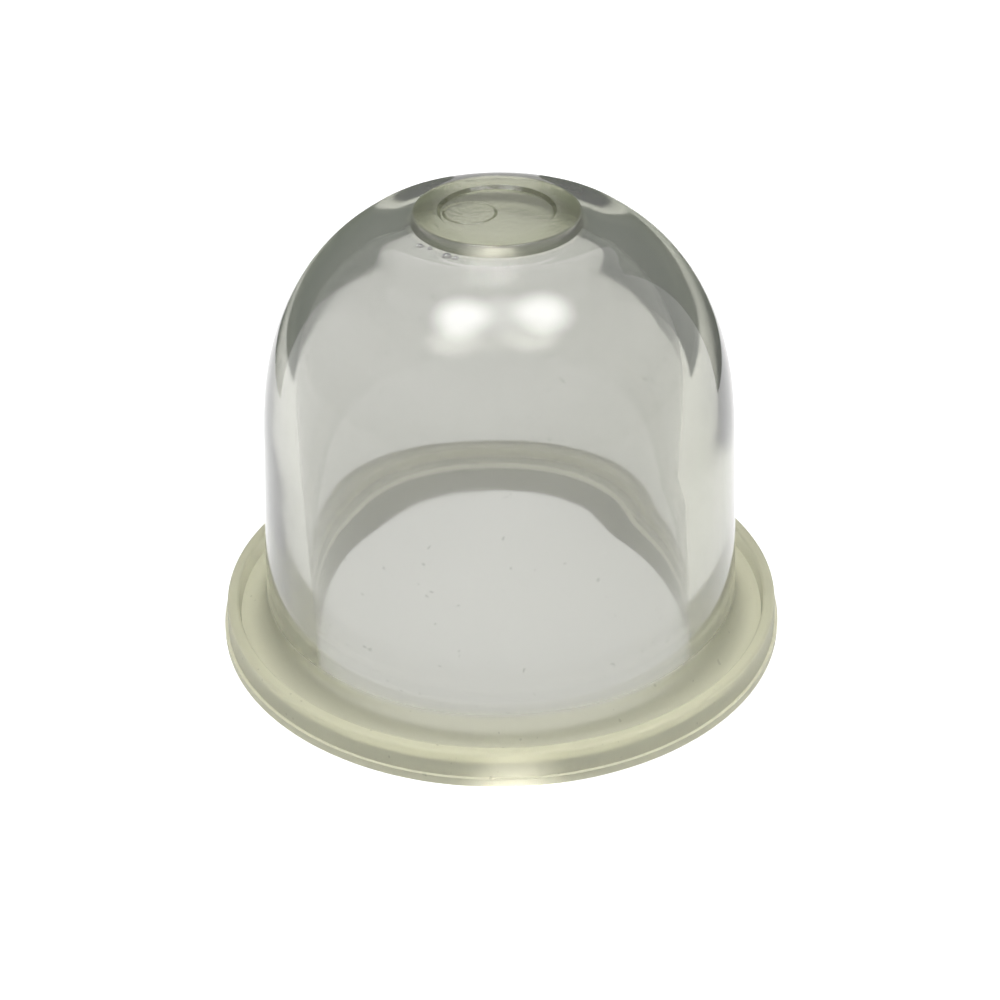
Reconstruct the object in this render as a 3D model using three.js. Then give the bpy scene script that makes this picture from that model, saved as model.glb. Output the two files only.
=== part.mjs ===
// Primer bulb: a clear squeeze bulb moulded in one piece, with a clamping flange round its open mouth.
// Millimetres, +Z up, standing on the underside of the flange with its axis on Z.

import * as THREE from 'three';

// Flange
const flangeRadius = 11;        // outside edge, at the lip
const flangeHeight = 1.35;      // underside to the top of the raised rim
const lipHeight = 0.33;         // thin lip that the mould leaves round the bottom edge
const lipOverhang = 0.12;       // how far the lip stands out from the side above it
const sideDraft = 0.05;         // how far the side leans in between lip and rim
const rimWidth = 0.5;           // top of the raised rim, with its rounded edges
const rimRound = 0.12;          // rounding of both rim edges
const rimSlope = 0.05;          // how far the rim's inner wall leans out towards its top
const troughDepth = 0.67;       // groove between rim and dome, below the rim
const mouthRound = 0.2;         // rounding of the cavity's bottom edge

// Dome
const footRadius = 9.26;        // outside, where the cove of the flange ends
const footHeight = 1.85;
const coveReach = 0.85;         // how far the cove runs out over the trough from the foot
const shoulderRadius = 8.93;    // outside, where the drafted wall starts to bend over
const shoulderHeight = 8.6;
const crownHeight = 17.88;      // where the crown's curve would meet the axis
const crownPower = 2.42;        // exponent of the crown's curve: 2 is an ellipse, more is squarer
const landDrop = 0.83;          // from there down to the flat land that cuts the crown off round the pad
const blendDrop = 0.35;         // how far below the land the crown starts to run into it
const blendLength = 0.7;        // how far that run reaches along the land
const landHeight = crownHeight - landDrop;

// Wall of the dome
const wallAtFoot = 1.61;        // from the foot of the dome in to the mouth
const wallAtShoulder = 1.48;    // level, at the shoulder
const wallAtCrown = 0.85;       // from the land down to the cavity's ceiling
const cavityPower = 2.68;       // exponent of the ceiling's curve, squarer than the crown's

// Pad on top
const padRadius = 3.1;
const padHeight = 0.43;         // above the land
const padDraft = 0.05;
const padRound = 0.1;
const recessRadius = 2.15;      // shallow round recess in the pad
const recessDepth = 0.12;

// Fineness of the facets
const turns = 72;               // facets round the axis
const wallSteps = 5;
const crownSteps = 14;
const blendSteps = 4;
const coveSteps = 6;
const roundSteps = 2;

// A point of the section, as radius and height, with the rounding that its corner gets
function corner(radius, height, round = 0) {
  return { at: new THREE.Vector2(radius, height), round };
}

// Turns each rounded corner into an arc that touches both of its sides
function roundCorners(corners, steps) {
  return corners.flatMap(({ at, round }, i) => {
    if (round === 0) return [at];
    const towardsLast = corners[i - 1].at.clone().sub(at).normalize();
    const towardsNext = corners[i + 1].at.clone().sub(at).normalize();
    const halfAngle = Math.acos(THREE.MathUtils.clamp(towardsLast.dot(towardsNext), -1, 1)) / 2;
    const middle = towardsLast.clone().add(towardsNext).normalize();
    const centre = at.clone().addScaledVector(middle, round / Math.sin(halfAngle));
    const start = at.clone().addScaledVector(towardsLast, round / Math.tan(halfAngle)).sub(centre);
    const sweep = (Math.PI - 2 * halfAngle) * Math.sign(towardsNext.cross(towardsLast));
    return Array.from({ length: steps + 1 }, (_, k) =>
      start.clone().rotateAround(new THREE.Vector2(), (sweep * k) / steps).add(centre));
  });
}

// The cove: a quarter of an ellipse that rises from the trough floor to the foot of the dome
function coveCurve() {
  const floor = flangeHeight - troughDepth;
  return Array.from({ length: coveSteps + 1 }, (_, k) => {
    const angle = (k / coveSteps) * Math.PI / 2;
    return new THREE.Vector2(
      footRadius + coveReach * (1 - Math.sin(angle)),
      floor + (footHeight - floor) * (1 - Math.cos(angle)));
  });
}

// A drafted wall that bends over towards the axis above the shoulder, without a kink between the two.
// It starts after its foot and ends where it has risen by a share of its full rise.
function wallCurve(foot, shoulder, rise, power, lastShare) {
  const draft = (foot.x - shoulder.x) / (shoulder.y - foot.y);
  const lastAngle = Math.asin(lastShare ** (power / 2));
  const wall = Array.from({ length: wallSteps }, (_, k) => foot.clone().lerp(shoulder, (k + 1) / wallSteps));
  const bend = Array.from({ length: crownSteps }, (_, k) => {
    const angle = ((k + 1) / crownSteps) * lastAngle;
    const above = rise * Math.sin(angle) ** (2 / power);
    const drafted = shoulder.x - draft * above;
    return new THREE.Vector2(drafted * Math.max(Math.cos(angle), 0) ** (2 / power), shoulder.y + above);
  });
  return [...wall, ...bend];
}

// Outside of the dome from its foot to the land round the pad
function domeOutside() {
  const rise = crownHeight - shoulderHeight;
  const curve = wallCurve(
    new THREE.Vector2(footRadius, footHeight),
    new THREE.Vector2(shoulderRadius, shoulderHeight),
    rise, crownPower, (landHeight - blendDrop - shoulderHeight) / rise);
  // The crown runs on straight to a corner with the land, which a parabola rounds off
  const start = curve.at(-1);
  const slope = start.clone().sub(curve.at(-2));
  const landCorner = start.clone().addScaledVector(slope, blendDrop / slope.y);
  const end = new THREE.Vector2(landCorner.x - blendLength, landHeight);
  const blend = new THREE.QuadraticBezierCurve(start, landCorner, end);
  return [...curve, ...blend.getPoints(blendSteps).slice(1)];
}

// Inside of the dome from its mouth to the middle of its ceiling
function domeInside(mouthRadius) {
  const ceiling = landHeight - wallAtCrown;
  const curve = wallCurve(
    new THREE.Vector2(mouthRadius, 0),
    new THREE.Vector2(shoulderRadius - wallAtShoulder, shoulderHeight),
    ceiling - shoulderHeight, cavityPower, 1);
  return [...curve.slice(0, -1), new THREE.Vector2(0, ceiling)];
}

// The whole section: down the inside, out along the underside, up the outside and back over the pad
function bulbSection() {
  const mouthRadius = footRadius - wallAtFoot;
  const sideRadius = flangeRadius - lipOverhang;
  const rimOuter = sideRadius - sideDraft;
  const rimInner = rimOuter - rimWidth;
  const padTop = landHeight + padHeight;

  const flange = [
    ...domeInside(mouthRadius).reverse().map((point) => corner(point.x, point.y)),
    corner(mouthRadius, 0, mouthRound),
    corner(flangeRadius, 0),
    corner(flangeRadius, lipHeight),
    corner(sideRadius, lipHeight),
    corner(rimOuter, flangeHeight, rimRound),
    corner(rimInner + rimSlope, flangeHeight, rimRound),
    corner(rimInner, flangeHeight - troughDepth),
    ...coveCurve().map((point) => corner(point.x, point.y)),
  ];
  const top = [
    ...domeOutside().map((point) => corner(point.x, point.y)),
    corner(padRadius, landHeight),
    corner(padRadius - padDraft, padTop, padRound),
    corner(recessRadius, padTop),
    corner(recessRadius - recessDepth, padTop - recessDepth),
    corner(0, padTop - recessDepth),
  ];
  return roundCorners([...flange, ...top], roundSteps);
}

function makeBulb() {
  const geometry = new THREE.LatheGeometry(bulbSection(), turns);
  geometry.rotateX(Math.PI / 2);
  const clearPlastic = new THREE.MeshStandardMaterial({
    color: new THREE.Color('#c6cab2'),
    roughness: 0.22,
    metalness: 0,
    transparent: true,
    opacity: 0.45,
  });
  const mesh = new THREE.Mesh(geometry, clearPlastic);
  mesh.name = 'primer_bulb';
  return mesh;
}

const part = new THREE.Group();
part.add(makeBulb());

export default part;
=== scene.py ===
# Primer bulb: a clear moulded squeeze bulb on a pale studio floor

import math

import bmesh
import bpy
from mathutils import Matrix, Vector


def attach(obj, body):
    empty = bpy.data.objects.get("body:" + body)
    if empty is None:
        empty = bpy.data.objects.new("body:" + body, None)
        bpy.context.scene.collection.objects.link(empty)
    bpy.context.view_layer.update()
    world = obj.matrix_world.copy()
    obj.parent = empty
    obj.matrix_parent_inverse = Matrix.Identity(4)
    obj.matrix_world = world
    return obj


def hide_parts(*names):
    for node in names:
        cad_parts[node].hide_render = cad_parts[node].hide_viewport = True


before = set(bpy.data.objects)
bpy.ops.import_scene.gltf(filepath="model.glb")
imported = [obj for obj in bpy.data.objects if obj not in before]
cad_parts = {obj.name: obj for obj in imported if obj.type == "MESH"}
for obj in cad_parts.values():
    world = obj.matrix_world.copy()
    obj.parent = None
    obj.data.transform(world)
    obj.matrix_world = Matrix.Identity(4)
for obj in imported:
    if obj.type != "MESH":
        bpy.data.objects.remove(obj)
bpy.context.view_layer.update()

mm = 0.001               # sizes and places below are in millimetres
scene = bpy.context.scene


# Helpers for meshes and shader nodes

def finishMesh(bm, name, material):
    mesh = bpy.data.meshes.new(name)
    bm.to_mesh(mesh)
    bm.free()
    mesh.materials.append(material)
    piece = bpy.data.objects.new(name, mesh)
    scene.collection.objects.link(piece)
    return piece


def addNode(tree, kind, links=(), **settings):
    # Settings are the node's own properties; links fill its inputs with values or other nodes' outputs
    node = tree.nodes.new(kind)
    for key, value in settings.items():
        setattr(node, key, value)
    for socket, value in dict(links).items():
        if isinstance(value, bpy.types.NodeSocket):
            tree.links.new(value, node.inputs[socket])
        else:
            node.inputs[socket].default_value = value
    return node


def maths(tree, operation, a, b=0.0, clamp=False):
    return addNode(tree, "ShaderNodeMath", {0: a, 1: b}, operation=operation, use_clamp=clamp).outputs[0]


def ramp(tree, value, start, end, low=0.0, high=1.0):
    # Smooth step from low to high while value goes from start to end
    node = addNode(tree, "ShaderNodeMapRange", {"Value": value, "From Min": start, "From Max": end,
                                                "To Min": low, "To Max": high})
    node.interpolation_type = "SMOOTHSTEP"
    return node.outputs["Result"]


def mixValue(tree, factor, first, second):
    return addNode(tree, "ShaderNodeMix", {0: factor, 2: first, 3: second}).outputs[0]


def mixColour(tree, factor, first, second, blend="MIX"):
    return addNode(tree, "ShaderNodeMix", {0: factor, 6: first, 7: second},
                   data_type="RGBA", blend_type=blend).outputs[2]


def noise(tree, place, size, detail):
    return addNode(tree, "ShaderNodeTexNoise", {"Vector": place, "Scale": 1 / (size * mm),
                                                "Detail": detail}).outputs["Fac"]


def fromAxis(tree, place, centre=(0, 0, 0)):
    # Distance in plan from an upright axis
    flat = addNode(tree, "ShaderNodeVectorMath", {0: place, 1: (1, 1, 0)}, operation="MULTIPLY")
    return addNode(tree, "ShaderNodeVectorMath", {0: flat.outputs[0], 1: centre},
                   operation="DISTANCE").outputs["Value"]


def newMaterial(name):
    material = bpy.data.materials.new(name)
    material.use_nodes = True
    return material, material.node_tree


# The bulb: one section turned about the axis, with the sizes of the frame's solid

bulb = {
    "flangeRadius": 11.0,
    "flangeHeight": 1.35,
    "lipHeight": 0.33,
    "lipOverhang": 0.12,
    "sideDraft": 0.05,
    "rimWidth": 0.5,
    "rimRound": 0.12,
    "rimSlope": 0.05,
    "troughDepth": 0.67,
    "mouthRound": 0.2,
    "footRadius": 9.26,
    "footHeight": 1.85,
    "coveReach": 0.85,
    "shoulderRadius": 8.93,
    "shoulderHeight": 8.6,
    "crownHeight": 17.88,
    "crownPower": 2.42,
    "landDrop": 0.83,
    "blendDrop": 0.35,
    "blendLength": 0.7,
    "wallAtFoot": 1.61,
    "wallAtShoulder": 1.48,
    "wallAtCrown": 0.85,
    "cavityPower": 2.68,
    "coreLean": 0.25,        # how far the mould's core stood to the left at the shoulder
    "padRadius": 3.1,
    "padHeight": 0.43,
    "padDraft": 0.05,
    "padRound": 0.1,
    "recessRadius": 2.15,
    "recessDepth": 0.12,
    "turns": 192,
    "wallSteps": 16,
    "crownSteps": 48,
    "blendSteps": 10,
    "coveSteps": 16,
    "roundSteps": 4,
    "weld": 0.001,           # points closer than this become one
    "crease": 30,            # degrees; a sharper edge isn't smoothed
}


def wallCurve(start, shoulder, rise, power, lastShare, b):
    # A drafted wall that bends over towards the axis above the shoulder, without a kink between the two
    draft = (start[0] - shoulder[0]) / (shoulder[1] - start[1])
    points = [Vector(start).lerp(Vector(shoulder), k / b["wallSteps"]) for k in range(b["wallSteps"])]
    lastAngle = math.asin(min(lastShare, 1) ** (power / 2))
    for k in range(b["crownSteps"] + 1):
        angle = lastAngle * k / b["crownSteps"]
        above = rise * math.sin(angle) ** (2 / power)
        points.append(Vector(((shoulder[0] - draft * above) * max(math.cos(angle), 0) ** (2 / power),
                              shoulder[1] + above)))
    return points


def domeOutside(b):
    landHeight = b["crownHeight"] - b["landDrop"]
    foot = (b["footRadius"], b["footHeight"])
    shoulder = (b["shoulderRadius"], b["shoulderHeight"])
    rise = b["crownHeight"] - b["shoulderHeight"]
    lastShare = (landHeight - b["blendDrop"] - b["shoulderHeight"]) / rise
    points = wallCurve(foot, shoulder, rise, b["crownPower"], lastShare, b)
    # The crown runs into the flat land along a parabola
    start, slope = points[-1], points[-1] - points[-2]
    corner = start + slope * (b["blendDrop"] / slope.y)
    end = corner - Vector((b["blendLength"], 0))
    steps = [k / b["blendSteps"] for k in range(1, b["blendSteps"] + 1)]
    return points + [start.lerp(corner, t).lerp(corner.lerp(end, t), t) for t in steps]


def cavityInside(b):
    mouth = (b["footRadius"] - b["wallAtFoot"], 0)
    shoulder = (b["shoulderRadius"] - b["wallAtShoulder"], b["shoulderHeight"])
    rise = b["crownHeight"] - b["landDrop"] - b["wallAtCrown"] - b["shoulderHeight"]
    points = wallCurve(mouth, shoulder, rise, b["cavityPower"], 1, b)
    points[-1].x = 0
    return points


def coveCurve(b):
    # A quarter of an ellipse from the trough floor up to the foot of the dome
    floor = b["flangeHeight"] - b["troughDepth"]
    angles = [k / b["coveSteps"] * math.pi / 2 for k in range(b["coveSteps"])]
    return [Vector((b["footRadius"] + b["coveReach"] * (1 - math.sin(a)),
                    floor + (b["footHeight"] - floor) * (1 - math.cos(a)))) for a in angles]


def bulbSection(b):
    # Points in order as radius and height, and the corners that get rounded
    landHeight = b["crownHeight"] - b["landDrop"]
    padTop = landHeight + b["padHeight"]
    recessFloor = padTop - b["recessDepth"]
    sideRadius = b["flangeRadius"] - b["lipOverhang"]
    rimOuter = sideRadius - b["sideDraft"]
    rimInner = rimOuter - b["rimWidth"]
    inside = cavityInside(b)
    mouthEdge = tuple(inside[0])
    rimEdges = [(rimOuter, b["flangeHeight"]), (rimInner + b["rimSlope"], b["flangeHeight"])]
    padEdge = (b["padRadius"] - b["padDraft"], padTop)
    flange = [(b["flangeRadius"], 0), (b["flangeRadius"], b["lipHeight"]), (sideRadius, b["lipHeight"]),
              *rimEdges, (rimInner, b["flangeHeight"] - b["troughDepth"])]
    top = [(b["padRadius"], landHeight), padEdge, (b["recessRadius"], padTop),
           (b["recessRadius"] - b["recessDepth"], recessFloor), (0, recessFloor)]
    section = [*inside[::-1], *flange, *coveCurve(b), *domeOutside(b), *top]
    rounded = {mouthEdge: b["mouthRound"], padEdge: b["padRound"]}
    rounded.update({edge: b["rimRound"] for edge in rimEdges})
    return section, len(inside), rounded


def roundEdge(bm, radius, height, size, steps):
    near = 0.01              # how far off the corner an edge's ends may lie
    loop = [e for e in bm.edges if all(abs(math.hypot(v.co.x, v.co.y) / mm - radius) < near
                                       and abs(v.co.z / mm - height) < near for v in e.verts)]
    bmesh.ops.bevel(bm, geom=loop, offset=size * mm, offset_type="OFFSET", affect="EDGES",
                    segments=steps, profile=0.5)


def leanCore(bm, core, b):
    # The cavity keeps its mouth and leans over by the shoulder
    for v in bm.verts:
        v.co.x -= v[core] * b["coreLean"] * mm * min(v.co.z / mm / b["shoulderHeight"], 1)


def makeBulb(b, material):
    section, insideCount, rounded = bulbSection(b)
    bm = bmesh.new()
    core = bm.verts.layers.float.new("core")
    verts = [bm.verts.new((point[0] * mm, 0, point[1] * mm)) for point in section]
    for v in verts[:insideCount]:
        v[core] = 1
    edges = [bm.edges.new(pair) for pair in zip(verts, verts[1:])]
    bmesh.ops.spin(bm, geom=verts + edges, cent=(0, 0, 0), axis=(0, 0, 1), angle=math.tau,
                   steps=b["turns"], use_merge=True)
    bmesh.ops.remove_doubles(bm, verts=bm.verts, dist=b["weld"] * mm)
    bmesh.ops.recalc_face_normals(bm, faces=bm.faces)
    for (radius, height), size in rounded.items():
        roundEdge(bm, radius, height, size, b["roundSteps"])
    leanCore(bm, core, b)
    for face in bm.faces:
        face.smooth = True
    for edge in bm.edges:
        edge.smooth = edge.calc_face_angle(0) < math.radians(b["crease"])
    return finishMesh(bm, "clearBulb", material)


# Drops of flash that the mould left round the pad's foot

nibs = {
    "drops": [(-2.7, -2.1, 0.13), (-1.75, -2.93, 0.17), (-1.45, -3.1, 0.12), (-2.35, -2.3, 0.1)],
    "width": 0.7,            # of a drop's size, which comes last in the list above
    "height": 0.8,
    "steps": 3,
}


def makeNibs(n, b, material):
    bm = bmesh.new()
    land = b["crownHeight"] - b["landDrop"]
    for x, y, size in n["drops"]:
        shape = Matrix.Diagonal((size, size * n["width"], size * n["height"], 1))
        place = Matrix.Translation(Vector((x, y, land)) * mm)
        bmesh.ops.create_icosphere(bm, subdivisions=n["steps"], radius=mm, matrix=place @ shape)
    for face in bm.faces:
        face.smooth = True
    return finishMesh(bm, "mouldNibs", material)


# Clear plastic: glossy on the dome, satin on the flange and the pad

plastic = {
    "ior": 1.49,
    "milkiness": 0.1,
    "depthColour": (0.52, 0.53, 0.38, 1),
    "depthDensity": 260.0,
    "grainSize": 0.2,
    "waveSize": 2.2,         # faint waves that the mould leaves all over
    "waveHeight": 0.004,
    "reliefDetail": 2.0,
    "hazeSize": 5.0,         # worn patches that are a little less glossy
    "hazeDetail": 5.0,
    "hazeLimits": (0.45, 0.7),
    "hazeRoughness": 0.05,
    "speckSize": 0.22,       # dust in and on the plastic
    "speckLimits": (0.8, 0.86),
    "speckShade": (0.75, 0.75, 0.75, 1),
    "blur": 0.1,             # how softly one skin runs into the next
}

skins = {
    "dome": {"tint": (0.76, 0.76, 0.765, 1), "roughness": 0.04, "grainHeight": 0.0},
    "flange": {"tint": (0.88, 0.87, 0.73, 1), "roughness": 0.55, "grainHeight": 0.006},
    # The pad's rounded edge and side are tinted nearly clear, lighter than its top and the dome: a
    # painted highlight along the pad's foot
    "padEdge": {"tint": (1.0, 1.0, 0.93, 1), "roughness": 0.15, "grainHeight": 0.0},
    "pad": {"tint": (0.56, 0.57, 0.41, 1), "roughness": 0.22, "grainHeight": 0.012},
}

gateMark = {
    "centre": Vector((-0.97, 0, 0)),
    "radius": 1.0,
    "edge": 0.12,
    "height": 0.08,
}


def skinZones(tree, place, blur, b):
    # Masks of the skins that lie over the dome's, each over the ones before it
    radius = fromAxis(tree, place)
    height = addNode(tree, "ShaderNodeSeparateXYZ", {0: place}).outputs["Z"]
    mouth = b["footRadius"] - b["wallAtFoot"]
    land = b["crownHeight"] - b["landDrop"]
    edge = b["padRadius"] - b["padDraft"]
    outside = ramp(tree, radius, (mouth + blur) * mm, (mouth + 3 * blur) * mm)
    low = ramp(tree, height, (b["footHeight"] + 3 * blur) * mm, (b["footHeight"] - 3 * blur) * mm)
    middle = ramp(tree, radius, (b["padRadius"] + 2 * blur) * mm, (b["padRadius"] + blur) * mm)
    high = ramp(tree, height, (land - blur) * mm, (land + blur) * mm)
    inner = ramp(tree, radius, edge * mm, (edge - b["padRound"]) * mm)
    wholePad = maths(tree, "MULTIPLY", middle, high)
    return {"flange": maths(tree, "MULTIPLY", outside, low), "padEdge": wholePad,
            "pad": maths(tree, "MULTIPLY", wholePad, inner)}


def bySkin(tree, zones, key, mix):
    value = skins["dome"][key]
    for name, mask in zones.items():
        value = mix(tree, mask, value, skins[name][key])
    return value


def gateRelief(tree, place, g):
    # The round mark that the mould's gate left beside the middle of the pad
    away = fromAxis(tree, place, g["centre"] * mm)
    return ramp(tree, away, g["radius"] * mm, (g["radius"] - g["edge"]) * mm, 0.0, g["height"] * mm)


def surfaceRelief(tree, place, zones, p):
    grain = maths(tree, "MULTIPLY", noise(tree, place, p["grainSize"], p["reliefDetail"]),
                  bySkin(tree, zones, "grainHeight", mixValue))
    waves = maths(tree, "MULTIPLY", noise(tree, place, p["waveSize"], p["reliefDetail"]), p["waveHeight"])
    relief = maths(tree, "MULTIPLY", maths(tree, "ADD", grain, waves), mm)
    gate = maths(tree, "MULTIPLY", zones["padEdge"], gateRelief(tree, place, gateMark))
    return maths(tree, "ADD", relief, gate)


def clearPlastic(p, b):
    material, tree = newMaterial("clearPlastic")
    place = addNode(tree, "ShaderNodeTexCoord").outputs["Object"]
    zones = skinZones(tree, place, p["blur"], b)
    speck = ramp(tree, noise(tree, place, p["speckSize"], 0.0), *p["speckLimits"])
    haze = ramp(tree, noise(tree, place, p["hazeSize"], p["hazeDetail"]), *p["hazeLimits"])
    # Each skin's tint with darker dust specks; the nearly clear tint on the pad's edge is a painted
    # highlight
    tint = mixColour(tree, speck, bySkin(tree, zones, "tint", mixColour), p["speckShade"], "MULTIPLY")
    worn = maths(tree, "MULTIPLY", maths(tree, "MAXIMUM", haze, speck), p["hazeRoughness"])
    roughness = maths(tree, "ADD", bySkin(tree, zones, "roughness", mixValue), worn)
    relief = surfaceRelief(tree, place, zones, p)
    bump = addNode(tree, "ShaderNodeBump", {"Height": relief, "Distance": 1.0})

    shader = tree.nodes["Principled BSDF"]
    tree.links.new(tint, shader.inputs["Base Color"])
    tree.links.new(roughness, shader.inputs["Roughness"])
    tree.links.new(bump.outputs[0], shader.inputs["Normal"])
    shader.inputs["IOR"].default_value = p["ior"]
    shader.inputs["Transmission Weight"].default_value = 1 - p["milkiness"]
    depth = addNode(tree, "ShaderNodeVolumeAbsorption", {"Color": p["depthColour"],
                                                         "Density": p["depthDensity"]})
    tree.links.new(depth.outputs[0], tree.nodes["Material Output"].inputs["Volume"])
    return material


plasticMaterial = clearPlastic(plastic, bulb)
bulbPiece = makeBulb(bulb, plasticMaterial)
nibPiece = makeNibs(nibs, bulb, plasticMaterial)
for piece in (bulbPiece, nibPiece):
    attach(piece, "root")
    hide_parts("primer_bulb")
print("bulb modelled,", len(bulbPiece.data.polygons), "faces, with", len(nibs["drops"]), "drops of flash")


# Studio: a pale floor, a pale sky that dims overhead and two dark cards out of the camera's sight

studio = {
    "floorRadius": 1200.0,
    "floorSteps": 96,
    "floorDrop": 0.03,       # below the flange, so that the two faces don't lie in one plane
    "floorColour": (0.62, 0.62, 0.62, 1),
    "floorGlow": 0.66,
    "cardRadius": 40.0,
    "cardHeight": 45.0,
    "cardStart": 5.0,        # degrees from straight behind the bulb
    "cardSweep": 57.0,
    "cardSteps": 40,
    "cardLift": 11.0,        # of the foot at the end behind the bulb
    "cardSlope": 0.5,        # share of the card along which its foot comes down to the floor
    "cardColour": (0.1, 0.12, 0.085, 1),
    "cardRoughness": 0.9,
    "skyLow": 1.0,
    "skyHigh": 0.6,
    "skyDim": (0.4, 0.85),   # height on a sky of radius 1 between which it dims
}


def seenDirectly(tree):
    # 1 for what the camera sees itself, in a reflection or through the clear plastic
    path = addNode(tree, "ShaderNodeLightPath").outputs
    either = maths(tree, "ADD", path["Is Camera Ray"], path["Is Glossy Ray"])
    return maths(tree, "ADD", either, path["Is Transmission Ray"], clamp=True)


def palePaper(s):
    material, tree = newMaterial("palePaper")
    tree.nodes.remove(tree.nodes["Principled BSDF"])
    diffuse = addNode(tree, "ShaderNodeBsdfDiffuse", {"Color": s["floorColour"]})
    strength = maths(tree, "MULTIPLY", seenDirectly(tree), s["floorGlow"])
    glow = addNode(tree, "ShaderNodeEmission", {"Strength": strength})
    both = addNode(tree, "ShaderNodeAddShader", {0: diffuse.outputs[0], 1: glow.outputs[0]})
    tree.links.new(both.outputs[0], tree.nodes["Material Output"].inputs["Surface"])
    return material


def makeFloor(s):
    bm = bmesh.new()
    bmesh.ops.create_circle(bm, cap_ends=True, segments=s["floorSteps"], radius=s["floorRadius"] * mm,
                            matrix=Matrix.Translation((0, 0, -s["floorDrop"] * mm)))
    finishMesh(bm, "floor", palePaper(s))


def makeCard(name, side, s):
    # A dark curved card beside and behind the bulb, which only reflections and the clear plastic show.
    # Its foot climbs towards the end behind the bulb, so that it isn't seen straight through the dome.
    material, tree = newMaterial(name)
    tree.nodes["Principled BSDF"].inputs["Base Color"].default_value = s["cardColour"]
    tree.nodes["Principled BSDF"].inputs["Roughness"].default_value = s["cardRoughness"]
    start = math.radians(90 - side * s["cardStart"])
    foot = Vector((math.cos(start), math.sin(start), 0)) * s["cardRadius"] * mm
    bm = bmesh.new()
    ends = [bm.verts.new(foot), bm.verts.new(foot + Vector((0, 0, s["cardHeight"] * mm)))]
    bmesh.ops.spin(bm, geom=[*ends, bm.edges.new(ends)], cent=(0, 0, 0), axis=(0, 0, 1),
                   angle=-side * math.radians(s["cardSweep"]), steps=s["cardSteps"])
    for v in bm.verts:
        if v.co.z < s["cardLift"] * mm:
            along = abs(math.degrees(math.atan2(v.co.x, v.co.y))) - s["cardStart"]
            v.co.z = s["cardLift"] * mm * max(1 - along / s["cardSweep"] / s["cardSlope"], 0)
    card = finishMesh(bm, name, material)
    card.visible_camera = False
    card.visible_diffuse = False
    card.visible_shadow = False


def makeSky(s):
    world = bpy.data.worlds.new("studioSky")
    scene.world = world
    world.use_nodes = True
    tree = world.node_tree
    towards = addNode(tree, "ShaderNodeTexCoord").outputs["Generated"]
    up = addNode(tree, "ShaderNodeSeparateXYZ", {0: towards}).outputs["Z"]
    tree.links.new(ramp(tree, up, *s["skyDim"], s["skyLow"], s["skyHigh"]),
                   tree.nodes["Background"].inputs["Strength"])
    tree.nodes["Background"].inputs["Color"].default_value = (1, 1, 1, 1)


makeFloor(studio)
makeCard("cardLeft", -1, studio)
makeCard("cardRight", 1, studio)
makeSky(studio)
print("floor, cards and sky set")


# Lamps: three soft ones high in front, and two narrow beams on the fronts of the flange and the pad

lamps = {
    "keyLeft": {"place": Vector((-50, -51, 190)), "size": 110, "power": 0.36},
    "keyRight": {"place": Vector((62, -40, 190)), "size": 110, "power": 0.36},
    "bridge": {"place": Vector((6, -48, 188)), "size": 100, "power": 0.1},
}
lampFade = (0.1, 0.5)        # shares of a lamp's width from its middle between which it fades out

beams = {
    "flangeBeam": {"place": Vector((1, -80, 50)), "aim": Vector((0.4, -11.6, -0.2)), "size": 1.5,
                   "spread": 2.5, "power": 0.00015},
    "padBeam": {"place": Vector((0, -60, 62)), "aim": Vector((-0.3, -3.3, 17)), "size": 0.6,
                "spread": 2.0, "power": 0.00003},
}
beamColour = (1.0, 0.97, 0.9)


def placeLamp(name, place, aim, size, power):
    data = bpy.data.lights.new(name, "AREA")
    data.shape = "DISK"
    data.size = size * mm
    data.energy = power
    lamp = bpy.data.objects.new(name, data)
    scene.collection.objects.link(lamp)
    lamp.location = place * mm
    lamp.rotation_euler = (place - aim).to_track_quat("Z", "Y").to_euler()
    return lamp


def makeLamp(name, place, size, power):
    # A lamp that is brightest in its middle
    lamp = placeLamp(name, place, Vector((0, 0, 0)), size, power)
    lamp.data.use_nodes = True
    tree = lamp.data.node_tree
    across = addNode(tree, "ShaderNodeNewGeometry").outputs["Parametric"]
    away = fromAxis(tree, across, (0.5, 0.5, 0))
    tree.links.new(ramp(tree, away, *lampFade, 1.0, 0.0), tree.nodes["Emission"].inputs["Strength"])


def makeBeam(name, place, aim, size, spread, power):
    # A narrow warm beam that only brightens what it falls on
    lamp = placeLamp(name, place, aim, size, power)
    lamp.data.spread = math.radians(spread)
    lamp.data.color = beamColour
    lamp.visible_glossy = False
    lamp.visible_transmission = False


for name, lamp in lamps.items():
    makeLamp(name, **lamp)
for name, lamp in beams.items():
    makeBeam(name, **lamp)


# Camera, at the photo's angle

view = {
    "centre": Vector((0, 0, 9.4)),
    "distance": 80.0,
    "elevation": 29.75,      # degrees above the floor
    "tilt": 2.55,            # further down than the centre
    "roll": 0.62,
    "lens": 76.16,
    "sensorWidth": 36,
    "clipStart": 0.001,      # metres
    "bounces": 24,           # enough for light to pass through all the walls
}


def makeCamera(v):
    data = bpy.data.cameras.new("camera")
    data.lens = v["lens"]
    data.sensor_width = v["sensorWidth"]
    data.clip_start = v["clipStart"]
    camera = bpy.data.objects.new("camera", data)
    scene.collection.objects.link(camera)
    height = math.radians(v["elevation"])
    away = Vector((0, -math.cos(height), math.sin(height)))
    camera.location = (v["centre"] + v["distance"] * away) * mm
    pitch = math.radians(90 - v["elevation"] - v["tilt"])
    turn = Matrix.Rotation(pitch, 3, "X") @ Matrix.Rotation(-math.radians(v["roll"]), 3, "Z")
    camera.rotation_euler = turn.to_euler()
    scene.camera = camera


makeCamera(view)
scene.view_settings.view_transform = "Standard"
scene.cycles.max_bounces = view["bounces"]
scene.cycles.transmission_bounces = view["bounces"]
print("lamps and camera set")
